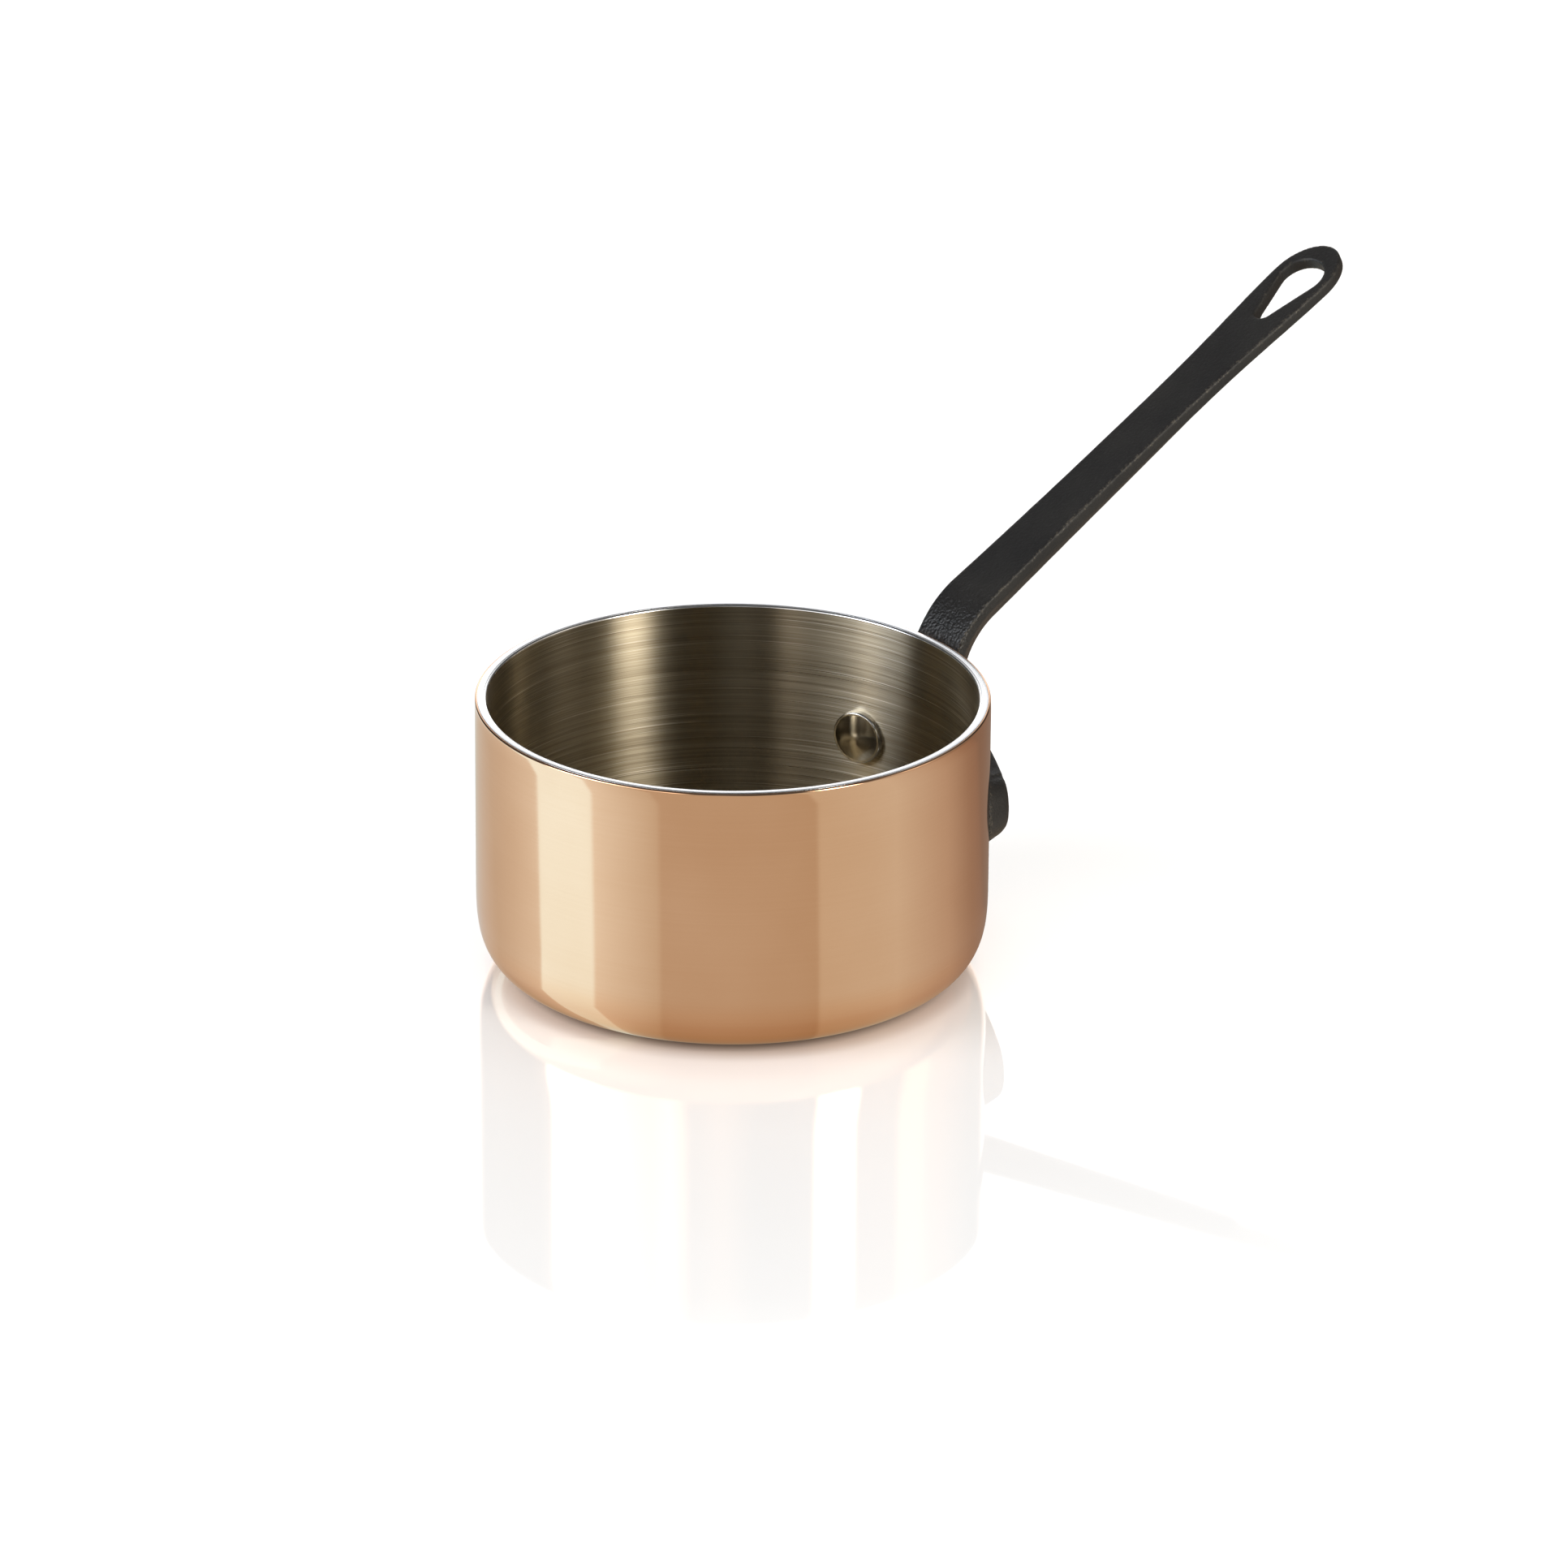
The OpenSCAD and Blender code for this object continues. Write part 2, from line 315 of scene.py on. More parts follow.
def cast_iron():
    """Black cast iron: sand-cast pebbling that is strongest at the bend, and lighter edges that are
    partly wear and partly a painted highlight.
    """
    material, nodes = new_material("cast_iron")
    place = nodes.add("ShaderNodeTexCoord").outputs["Object"]
    wear_and_highlight = nodes.add("ShaderNodeAttribute", attribute_name="wear_and_highlight").outputs["Fac"]
    pebbled = nodes.add("ShaderNodeAttribute", attribute_name="pebbled").outputs["Fac"]
    grain = nodes.noise(place, 1500.0, detail=4.0, roughness=0.7)
    pebbles = nodes.noise(place, 1250.0, detail=1.5, roughness=0.45)
    blotches = nodes.noise(place, 75.0, detail=4.0)

    black = nodes.ramp(blotches, [(0.30, (0.0075, 0.0070, 0.0070)), (0.72, (0.0135, 0.0125, 0.0115))])
    # Lighter specks on convex edges: partly wear, partly a painted highlight along the edges
    wear_and_highlight_specks = nodes.math("MULTIPLY", wear_and_highlight, nodes.grey_range(
        nodes.noise(place, 1300.0, detail=3.0, roughness=0.7), 0.52, 0.68, 0.0, 1.0))
    colour = nodes.blend(wear_and_highlight_specks, black, (0.13, 0.115, 0.092, 1.0))

    roughness = nodes.math("SUBTRACT", nodes.grey_range(grain, 0.3, 0.7, 0.46, 0.62),
                           nodes.math("MULTIPLY", pebbled, 0.30))
    height = nodes.math("ADD", nodes.math("MULTIPLY", grain, 0.12),
                        nodes.math("MULTIPLY", pebbles, pebbled))
    bump = nodes.add("ShaderNodeBump", {"Strength": 1.0, "Distance": 0.0006, "Height": height})
    shader = nodes.add("ShaderNodeBsdfPrincipled", {
        "Base Color": colour, "Metallic": nodes.math("MULTIPLY", wear_and_highlight_specks, 0.8),
        "Roughness": roughness, "Specular IOR Level": 0.40, "Normal": bump.outputs[0]})
    finish_material(nodes, shader)
    return material


# ---- Pan ----------------------------------------------------------------------------------------

CORNER_STEPS = 64
PAN_SEGMENTS = 320
WALL_STEPS = 6
LEAN_STEPS = 8
RIM_STEPS = 14
# The rim is rounded off over a width, by a fall, on its outer and its inner side
RIM_OUTER_W = 1.2
RIM_OUTER_FALL = 0.50
RIM_INNER_W = 1.1
RIM_INNER_FALL = 0.55
# How far the wall leans in, and over what height below the rim
LEAN = 0.08
LEAN_H = 3.6
# The hairline where two metals meet in the rim
SEAM = 0.05
SEAM_W = 0.07


def wall_line(depth):
    """Profile of the pan's outer face moved in by depth, from the axis to where the wall is upright."""
    r = CORNER_R - depth
    line = [(0.0, depth), ((PAN_R - CORNER_R) / 2, depth)]
    for i in range(CORNER_STEPS + 1):
        a = math.pi / 2 * i / CORNER_STEPS
        line.append((PAN_R - depth - r * (1 - math.sin(a) ** (2 / CORNER_POWER)),
                     depth + r * (1 - max(0.0, math.cos(a)) ** (2 / CORNER_POWER))))
    return line


def rim_height(depth):
    """Height of the rounded rim at a depth from the outer face."""
    drop = 0.0
    for reach, width, fall in ((depth, RIM_OUTER_W, RIM_OUTER_FALL),
                               (WALL_T - depth, RIM_INNER_W, RIM_INNER_FALL)):
        short = max(0.0, 1 - reach / width)
        drop += fall * (1 - math.sqrt(1 - min(1.0, short) ** 2))
    return PAN_H - drop


def rim_line(start, end, seam_at_start, seam_at_end):
    """The rim's top from one depth to another, dipping by a hair where two metals meet."""
    line = []
    for i in range(RIM_STEPS + 1):
        depth = start + (end - start) * (1 - math.cos(math.pi * i / RIM_STEPS)) / 2
        dip = 0.0
        if seam_at_start:
            dip = max(dip, SEAM * (1 - (depth - start) / SEAM_W))
        if seam_at_end:
            dip = max(dip, SEAM * (1 - (end - depth) / SEAM_W))
        line.append((PAN_R - depth, rim_height(depth) - dip))
    return line


def layer_profile(start, end):
    """Closed profile of one layer of the clad sheet between two depths."""
    outer, inner = wall_line(start), wall_line(end)
    uprights = []
    for depth, foot_z in ((start, outer[-1][1]), (end, inner[-1][1])):
        top = rim_height(depth)
        heights = [foot_z + (top - LEAN_H - foot_z) * i / WALL_STEPS for i in range(1, WALL_STEPS)]
        heights += [top - LEAN_H + LEAN_H * i / LEAN_STEPS for i in range(LEAN_STEPS)]
        uprights.append([(PAN_R - depth, z) for z in heights])
    rim = rim_line(start, end, start > 0, end < WALL_T)
    profile = outer + uprights[0] + rim + uprights[1][::-1] + inner[::-1]
    return [(r - lean_in(z) if r > PAN_R / 2 else r, z) for r, z in profile]


def lean_in(z):
    """How far the wall leans in just under the rim."""
    return LEAN * max(0.0, (z - PAN_H + LEAN_H) / LEAN_H) ** 2


def pan_layer(node, start, end, material, rim_material=None):
    """One layer of the clad sheet between two depths, with a material of its own on the rim if given."""
    points, faces, uvs = lathe(layer_profile(start, end), PAN_SEGMENTS)
    piece = add_piece(node + "_layer", points, faces, material, uvs)
    if rim_material is not None:
        piece.data.materials.append(rim_material)
        for face in piece.data.polygons:
            if face.center.z > (PAN_H - RIM_INNER_FALL - SEAM) * MM:
                face.material_index = 1
    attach(piece, "root")
    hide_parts(node)


# ---- Rivets -------------------------------------------------------------------------------------

RIVET_SEGMENTS = 96
SHOULDER_STEPS = 10
DOME_STEPS = 24
# The head's rounded shoulder and the angle it turns through, and how deep the head reaches into the wall
HEAD_ROUND = 0.75
SHOULDER_TURN = 62
SHOULDER_DROP = 0.55
HEAD_SINK = 0.8
# How far the dome starts inside the shoulder, and how far it lies below the CAD head's face
DOME_START = 0.25
DOME_DROP = 0.06
# The tail's crown: shares of its radius, each with the share of its height there
TAIL_DOME = [(0.0, 0.95), (0.55, 0.75), (0.85, 0.35)]


def rivet_profile():
    """From the tail's outer face to the middle of the domed head; height 0 is the pan's axis."""
    face = -INNER_R + HEAD_T
    crown = HEAD_T - HEAD_EDGE_T
    crown_r = (HEAD_R ** 2 + crown ** 2) / (2 * crown)
    dome_centre = face - crown_r
    shoulder_z = face - crown - HEAD_ROUND * SHOULDER_DROP
    tail = [(TAIL_R * share, -FOOT_R - TAIL_CROWN * rise) for share, rise in TAIL_DOME]
    tail += [(TAIL_R, -FOOT_R + 0.05), (TAIL_R - 0.15, -FOOT_R + 0.25), (SHANK_R, -FOOT_R + TAIL_T)]
    head = [(SHANK_R, -INNER_R - HEAD_SINK), (HEAD_R - 0.3, -INNER_R - HEAD_SINK),
            (HEAD_R - 0.04, -INNER_R - HEAD_SINK + 0.3), (HEAD_R, -INNER_R + 0.2),
            (HEAD_R, shoulder_z - 0.1)]
    shoulder = arc((HEAD_R - HEAD_ROUND, shoulder_z), HEAD_ROUND, 0, SHOULDER_TURN, SHOULDER_STEPS)
    start = math.asin((shoulder[-1][0] - DOME_START) / crown_r)
    dome = [(crown_r * math.sin(start * i / DOME_STEPS),
             dome_centre - DOME_DROP + crown_r * math.cos(start * i / DOME_STEPS))
            for i in range(DOME_STEPS, 0, -1)]
    return tail + head + shoulder + dome + [(0.0, face - DOME_DROP)]


def rivet(node, angle, height, material):
    """A rivet through the wall and the foot, at an angle from the handle and a height."""
    points, faces, uvs = lathe(rivet_profile(), RIVET_SEGMENTS)
    inward = Matrix.Rotation(math.radians(angle), 3, "Z") @ Matrix.Rotation(-math.pi / 2, 3, "Y")
    placed = np.asarray(points) @ np.array(inward).T + np.array([0.0, 0.0, height])
    piece = add_piece(node + "_button", placed, faces, material, uvs)
    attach(piece, "root")
    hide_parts(node)


# ---- Handle: a casting described by its signed distance, negative inside --------------------------

# Rounding of the casting's edges
TOP_EDGE_R = 0.5
UNDER_EDGE_R = 0.9
HOLE_EDGE_R = 0.6
FOOT_EDGE_R = 1.4
# Fillets between the belly and the flat underside, between wing and web, and between strap and foot
BELLY_BLEND = 1.2
WING_BLEND = 1.5
FOOT_BLEND = 5.0
# The foot spreads towards the wall: how far it goes past the CAD outline there, and its sides' slope
FOOT_GROW = 0.6
FOOT_DRAFT = 0.30
# How far the casting reaches into the wall, so that no light shows between them
WALL_OVERLAP = 0.12
# How far the strap's ends are sunk, in the foot's face and in the flat underside, and how far below the
# bend the ridge has its full depth
RIDGE_SINK = 1.0
BELLY_SINK = 0.4
RIDGE_FULL = 4.0
# The mesh: its cell, the steps that settle it on the surface, and the room round it
CELL = 0.45
SETTLE_STEPS = 5
ROOM = 2.0
FOOT_ROOM = 3.0
# The sand casting's unevenness, and how near the wall it dies away
UNEVENNESS = 0.05
UNEVEN_FADE = 0.8
# How deep an edge is felt for, and the shortfall there, as a share of that, that counts as a full edge
# mark, which is partly wear and partly painted highlight
WEAR_HIGHLIGHT_REACH = 0.7
WEAR_HIGHLIGHT_SHORTFALL = 0.22
# Pebbling is full below the bend's upper part, fades over a length, and never quite goes
PEBBLED_TO = 16.0
PEBBLED_FADE = 22.0
PEBBLED_LEAST = 0.12


def blend_union(a, b, k):
    """Union of two distances with a fillet of about k."""
    h = np.clip(0.5 + 0.5 * (b - a) / k, 0, 1)
    return b + (a - b) * h - k * h * (1 - h)


def round_intersection(a, b, r):
    """Intersection of two distances whose shared edge is rounded by r."""
    return np.minimum(-r, np.maximum(a, b)) + np.hypot(np.maximum(r + a, 0), np.maximum(r + b, 0))


def ease(t):
    return t * t * (3 - 2 * t)


def grip_half(s):
    """Half the grip's width at distance s from the bend, up to the middle of the eye."""
    waist = WAIST_W / 2
    near = waist + (NECK_W - WAIST_W) / 2 * np.clip(1 - s / WAIST_AT, 0, 1) ** 2
    t = np.clip((s - WAIST_AT) / (GRIP_LEN - WAIST_AT), 0, 1)
    far = waist + (EYE_W - WAIST_W) / 2 * ease(t ** 1.8)
    return np.where(s < 0, NECK_W / 2, np.where(s < WAIST_AT, near, far))


def grip_outline(s, y):
    """Distance to the grip's outline seen from above: flanks, then the elliptical tip."""
    flank = np.abs(y) - grip_half(s)
    a, b = TIP_LEN, EYE_W / 2
    t = s - GRIP_LEN
    k0 = np.hypot(t / a, y / b)
    k1 = np.hypot(t / a ** 2, y / b ** 2) + 1e-9
    return np.where(t > 0, k0 * (k0 - 1) / k1, flank)


def teardrop(s, y):
    """Distance to the hanging hole's outline: two round ends and the flanks that touch both."""
    side, up = np.abs(y), GRIP_LEN - s
    b = (HOLE_R - HOLE_SMALL_R) / HOLE_LEN
    a = math.sqrt(1 - b * b)
    k = -b * side + a * up
    big = np.hypot(side, up) - HOLE_R
    small = np.hypot(side, up - HOLE_LEN) - HOLE_SMALL_R
    return np.where(k < 0, big, np.where(k > a * HOLE_LEN, small, a * side + b * up - HOLE_R))


def strap_run(x, z):
    """Where points lie along the strap: s from the end of the bend, and depth below the upper face."""
    cos_rise, sin_rise = math.cos(GRIP_RISE), math.sin(GRIP_RISE)
    gx, gz = x - GRIP_X, z - GRIP_Z
    s_grip = gx * cos_rise + gz * sin_rise
    h_grip = gx * sin_rise - gz * cos_rise
    dx, dz = x - BEND_X, z - BEND_Z
    h_bend = BEND_R - np.hypot(dx, dz)
    s_bend = (np.arctan2(dz, -dx) - BEND_TURN) * BEND_R
    s_root = dz - BEND_TURN * BEND_R
    in_grip, in_root = s_grip > 0, dz < 0
    s = np.where(in_grip, s_grip, np.where(in_root, s_root, s_bend))
    h = np.where(in_grip, h_grip, np.where(in_root, x - PAN_R, h_bend))
    return s, h


def strap(x, y, z):
    """The bent strap: flat top, upright sides and a rounded belly that fades out at both ends."""
    s, h = strap_run(x, z)
    root_end = RIDGE_END_Z - BEND_Z - BEND_TURN * BEND_R
    bend_start = -BEND_TURN * BEND_R
    depth = np.interp(s, [root_end, bend_start - RIDGE_FULL, 0, BELLY_FADE, BELLY_END],
                      [FOOT_T - RIDGE_SINK, NECK_DEPTH, NECK_DEPTH, FRONT_DEPTH, SIDE_T - BELLY_SINK])
    under = blend_union(h - SIDE_T, np.hypot(y, h - (depth - BELLY_R)) - BELLY_R, BELLY_BLEND)
    solid = round_intersection(grip_outline(s, y), -h, TOP_EDGE_R)
    solid = round_intersection(solid, under, UNDER_EDGE_R)
    solid = round_intersection(solid, -teardrop(s, y), HOLE_EDGE_R)
    return np.maximum(solid, RIDGE_END_Z - z)


def foot_outline(y, z):
    """Distance to the foot's outline seen along the handle: two wings and a tongue, joined up."""
    drop = WING_Z - LOWER_RIVET_Z
    lean = math.atan2(drop, WING_Y) - math.acos((TONGUE_R - WING_R) / math.hypot(WING_Y, drop))
    out_y, out_z = math.cos(lean), math.sin(lean)
    half = [(TONGUE_R * out_y, LOWER_RIVET_Z + TONGUE_R * out_z),
            (WING_Y + WING_R * out_y, WING_Z + WING_R * out_z),
            (WING_Y, WING_Z + WING_R), (NECK_W / 2, FOOT_TOP_Z), (0.0, FOOT_TOP_Z)]
    side = np.abs(y)
    web = half[0][1] - z
    for (y0, z0), (y1, z1) in zip(half, half[1:]):
        length = math.hypot(y1 - y0, z1 - z0)
        web = np.maximum(web, ((side - y0) * (z1 - z0) - (z - z0) * (y1 - y0)) / length)
    wing = np.hypot(side - WING_Y, z - WING_Z) - WING_R
    tongue = np.hypot(y, z - LOWER_RIVET_Z) - TONGUE_R
    return np.minimum(blend_union(web, wing, WING_BLEND), tongue)


def foot(x, y, z):
    """The spread foot, hugging the wall, its edges drafted and rounded."""
    out = np.hypot(x, y) - PAN_R
    edge = foot_outline(y, z) - FOOT_GROW + FOOT_DRAFT * np.maximum(out, 0)
    edge = edge / math.hypot(1, FOOT_DRAFT)
    return np.maximum(round_intersection(edge, out - FOOT_T, FOOT_EDGE_R), -x)


def casting(p):
    """Signed distance in millimetres of the whole handle."""
    x, y, z = p[..., 0], p[..., 1], p[..., 2]
    whole = blend_union(strap(x, y, z), foot(x, y, z), FOOT_BLEND)
    return np.maximum(whole, PAN_R - WALL_OVERLAP - np.hypot(x, y))


def slope(field, p, reach=0.02):
    """Gradient of a distance field at points p, by central differences."""
    g = np.empty_like(p)
    for axis in range(3):
        step = np.zeros(3)
        step[axis] = reach
        g[:, axis] = (field(p + step) - field(p - step)) / (2 * reach)
    return g


def surface_net(field, low, high, cell):
    """A quad mesh of field = 0 inside the box, one vertex per cell that the surface crosses.

    The field is read on a coarse grid first, and on the fine one only near the surface.
    """
    ratio = 4
    coarse = cell * ratio
    count = np.ceil((np.asarray(high) - low) / coarse).astype(int) + 1
    axes = [low[i] + coarse * (np.arange(count[i]) + 0.5) for i in range(3)]
    centre = np.stack(np.meshgrid(*axes, indexing="ij"), -1)
    rough = field(centre)
    fine_shape = count * ratio
    f = np.repeat(np.repeat(np.repeat(np.sign(rough), ratio, 0), ratio, 1), ratio, 2)
    near = np.abs(rough) < coarse * 1.6
    near = np.repeat(np.repeat(np.repeat(near, ratio, 0), ratio, 1), ratio, 2)
    where = np.argwhere(near)
    f[near] = field(np.asarray(low) + cell * (where + 0.5))

    inside = f < 0
    corner_steps = [np.array([i >> 2 & 1, i >> 1 & 1, i & 1]) for i in range(8)]
    spans = [slice(0, -1), slice(1, None)]
    total = sum(inside[tuple(spans[s] for s in step)].astype(np.int8) for step in corner_steps)
    crossed = (total > 0) & (total < 8)
    cells = np.argwhere(crossed)
    index = np.full(crossed.shape, -1)
    index[crossed] = np.arange(len(cells))
    values = np.stack([f[tuple((cells + step).T)] for step in corner_steps], 1)
    summed, hits = np.zeros((len(cells), 3)), np.zeros(len(cells))
    for i in range(8):
        for j in range(i + 1, 8):
            span = corner_steps[j] - corner_steps[i]
            if np.abs(span).sum() != 1:
                continue
            a, b = values[:, i], values[:, j]
            cut = (a < 0) != (b < 0)
            t = np.where(cut, a / np.where(cut, a - b, 1), 0)[:, None]
            summed += np.where(cut[:, None], corner_steps[i] + t * span, 0)
            hits += cut
    points = np.asarray(low) + cell * (cells + summed / hits[:, None] + 0.5)

    quads = []
    for axis in range(3):
        u, v = (axis + 1) % 3, (axis + 2) % 3
        step = np.eye(3, dtype=int)
        here = [slice(1, -1)] * 3
        there = [slice(1, -1)] * 3
        here[axis], there[axis] = slice(0, -1), slice(1, None)
        a, b = inside[tuple(here)], inside[tuple(there)]
        offset = np.ones(3, int)
        offset[axis] = 0
        for flag, flip in ((a & ~b, False), (~a & b, True)):
            at = np.argwhere(flag) + offset
            ring = [at - step[u] - step[v], at - step[v], at, at - step[u]]
            quad = np.stack([index[tuple(r.T)] for r in ring], 1)
            quads.append(quad[:, ::-1] if flip else quad)
    return points, np.concatenate(quads)


def soft_waves(p):
    """A gentle unevenness between 0 and 1, as a sand casting has."""
    total = 0.0
    for k, (wave, turn) in enumerate(((0.55, 0.3), (0.83, 1.1), (1.21, 2.0), (0.41, 2.7))):
        heading = np.array([math.cos(turn), math.sin(turn), math.cos(turn + k)])
        total = total + np.sin(wave * (p @ heading) + 1.7 * k)
    return 0.5 + total / 8


def handle(material):
    """The handle's casting as one mesh, with where its edges are worn and carry a painted highlight, and
    where it is pebbled.
    """
    reach_y = WING_Y + WING_R + ROOM
    low = np.array([math.sqrt(PAN_R ** 2 - reach_y ** 2) - FOOT_ROOM, -reach_y,
                    LOWER_RIVET_Z - TONGUE_R - FOOT_ROOM])
    box_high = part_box("handle")[1]
    high = np.array([box_high.x / MM + ROOM, reach_y, box_high.z / MM + ROOM])
    points, faces = surface_net(casting, low, high, CELL)
    for _ in range(SETTLE_STEPS):
        g = slope(casting, points)
        size = np.maximum((g ** 2).sum(1), 0.25)
        move = -casting(points)[:, None] * g / size[:, None]
        points = points + np.clip(move, -CELL / 2, CELL / 2)

    normal = slope(casting, points)
    normal /= np.linalg.norm(normal, axis=1)[:, None] + 1e-9
    off_wall = np.clip((np.hypot(points[:, 0], points[:, 1]) - PAN_R) / UNEVEN_FADE, 0, 1)
    points = points - normal * (UNEVENNESS * soft_waves(points) * off_wall)[:, None]

    piece = add_piece("handle_casting", points, faces, material)
    s, _ = strap_run(points[:, 0], points[:, 2])
    up_bend = np.clip(1 - (s + PEBBLED_TO) / PEBBLED_FADE, PEBBLED_LEAST, 1)
    above_foot = np.clip((points[:, 2] - FOOT_TOP_Z) / PEBBLED_FADE, 0, 1)
    pebbled = PEBBLED_LEAST + (up_bend - PEBBLED_LEAST) * above_foot
    for name, values in (("wear_and_highlight", edge_wear_and_highlight(points, normal)), ("pebbled", pebbled)):
        layer = piece.data.attributes.new(name, "FLOAT", "POINT")
        layer.data.foreach_set("value", np.asarray(values, np.float32))
    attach(piece, "root")
    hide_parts("handle")


def edge_wear_and_highlight(points, normal):
    """1 on convex edges and 0 on flat faces, from how fast the distance falls short just inside."""
    shortfall = casting(points - normal * WEAR_HIGHLIGHT_REACH) + WEAR_HIGHLIGHT_REACH
    return np.clip(shortfall / (WEAR_HIGHLIGHT_SHORTFALL * WEAR_HIGHLIGHT_REACH), 0, 1)


# ---- Studio -------------------------------------------------------------------------------------

VIEW_AZIMUTH = math.radians(-39.8)
CAMERA_ELEVATION = math.radians(23.8091)
CAMERA_DISTANCE = 1.95677
CAMERA_PITCH = math.radians(22.6081)
CAMERA_YAW = math.radians(0.3842)
CAMERA_ROLL = math.radians(0.3557)
LENS = 190.95
FILM = 36.0


def add_camera():
    """Camera at the photograph's angle. It stands at azimuth 0 first, then turns round the pan."""
    data = bpy.data.cameras.new("camera")
    data.lens, data.sensor_width = LENS, FILM
    data.clip_start, data.clip_end = 0.05, 100.0
    camera = bpy.data.objects.new("camera", data)
    bpy.context.scene.collection.objects.link(camera)
    stand = Vector((0.0, -math.cos(CAMERA_ELEVATION), math.sin(CAMERA_ELEVATION))) * CAMERA_DISTANCE
    ahead = Vector((math.sin(CAMERA_YAW) * math.cos(CAMERA_PITCH),
                    math.cos(CAMERA_YAW) * math.cos(CAMERA_PITCH), -math.sin(CAMERA_PITCH)))
    level = Vector((math.cos(CAMERA_YAW), -math.sin(CAMERA_YAW), 0.0))
    up = level.cross(ahead)
    right = math.cos(CAMERA_ROLL) * level + math.sin(CAMERA_ROLL) * up
    up = math.cos(CAMERA_ROLL) * up - math.sin(CAMERA_ROLL) * level
    frame_3 = Matrix((right, up, -ahead)).transposed()
    place = Matrix.Translation(stand) @ frame_3.to_4x4()
    camera.matrix_world = Matrix.Rotation(VIEW_AZIMUTH, 4, "Z") @ place
    bpy.context.scene.camera = camera


# Light round the pan by turn from the camera, in degrees. The low banks are the lit table as the
# outer wall mirrors it, the high banks are the lights themselves, and the backdrop is the white wall
# behind the pan, which fades with the sine of the elevation.
LOW_STRENGTH = 2.0
LOW_BANKS = [(-180, (0.34, 0.33, 0.32)), (-130, (0.335, 0.33, 0.30)), (-96, (0.44, 0.49, 0.51)),
             (-94.5, (0.56, 0.77, 0.92)), (-65, (0.56, 0.77, 0.92)), (-63.5, (0.475, 0.55, 0.59)),
             (-33, (0.345, 0.355, 0.335)), (-31, (0.31, 0.295, 0.265)), (38.5, (0.29, 0.265, 0.225)),
             (40.5, (0.345, 0.345, 0.315)), (80, (0.36, 0.375, 0.36)), (115, (0.275, 0.245, 0.215)),
             (140, (0.19, 0.145, 0.115)), (158, (0.165, 0.118, 0.092)), (180, (0.14, 0.103, 0.082))]
# Left of the middle the banks' edges sweep across the wall where its corner turns under: between two
# tangents of its tilt, by a share of the pan's radius, fading in between two places across
SWEEP_TILT = (0.25, 1.1)
SWEEP = 0.30
SWEEP_ACROSS = (-0.35, -0.55)
# What is left of the low banks where the wall's corner turns under: tangent of its tilt, then tint
UNDER_REACH = 2.5
UNDER = [(0.04, (1.0, 1.0, 0.98)), (0.16, (0.97, 0.90, 0.82)), (0.39, (0.87, 0.73, 0.61)),
         (0.74, (0.78, 0.62, 0.46)), (1.2, (0.66, 0.52, 0.38)), (2.5, (0.45, 0.36, 0.27))]
HIGH_STRENGTH = 16.0
HIGH_BANKS = [(-180, (0.0, 0.0, 0.0)), (-135, (0.005, 0.005, 0.005)), (-97, (0.004, 0.004, 0.004)),
              (-90, (0.02, 0.021, 0.022)), (-86, (0.30, 0.31, 0.33)), (-74, (0.32, 0.34, 0.37)),
              (-66, (0.38, 0.40, 0.43)), (-58, (0.20, 0.205, 0.21)), (-46, (0.12, 0.12, 0.12)),
              (-37, (0.08, 0.08, 0.08)), (-27, (0.14, 0.13, 0.12)), (-18, (0.01, 0.01, 0.01)),
              (-4, (0.025, 0.025, 0.025)), (10, (0.003, 0.003, 0.003)), (37, (0.006, 0.006, 0.006)),
              (41, (0.50, 0.47, 0.42)), (48, (0.90, 0.86, 0.78)), (55, (0.50, 0.47, 0.42)),
              (59, (0.016, 0.015, 0.014)), (79, (0.018, 0.017, 0.016)), (84, (0.075, 0.068, 0.058)),
              (95, (0.070, 0.064, 0.055)), (100, (0.035, 0.032, 0.028)), (125, (0.012, 0.011, 0.010)),
              (135, (0.004, 0.004, 0.004)), (180, (0.0, 0.0, 0.0))]
BACKDROP = [(-180, 1.0), (-166, 1.0), (-152, 0.0), (152, 0.0), (166, 1.0), (180, 1.0)]
BACKDROP_FADE = [(0.0, 1.0), (0.29, 0.95), (0.42, 0.64), (0.52, 0.38), (0.62, 0.14), (0.70, 0.0)]
BACKDROP_STRENGTH = 2.0
# It is dark overhead, and the banks pass into that between two sines of the elevation
OVERHEAD = 0.006
OVERHEAD_RISE = (0.62, 0.80)
# The low banks pass into the high ones between minus and plus this sine of the elevation
HORIZON = 0.04


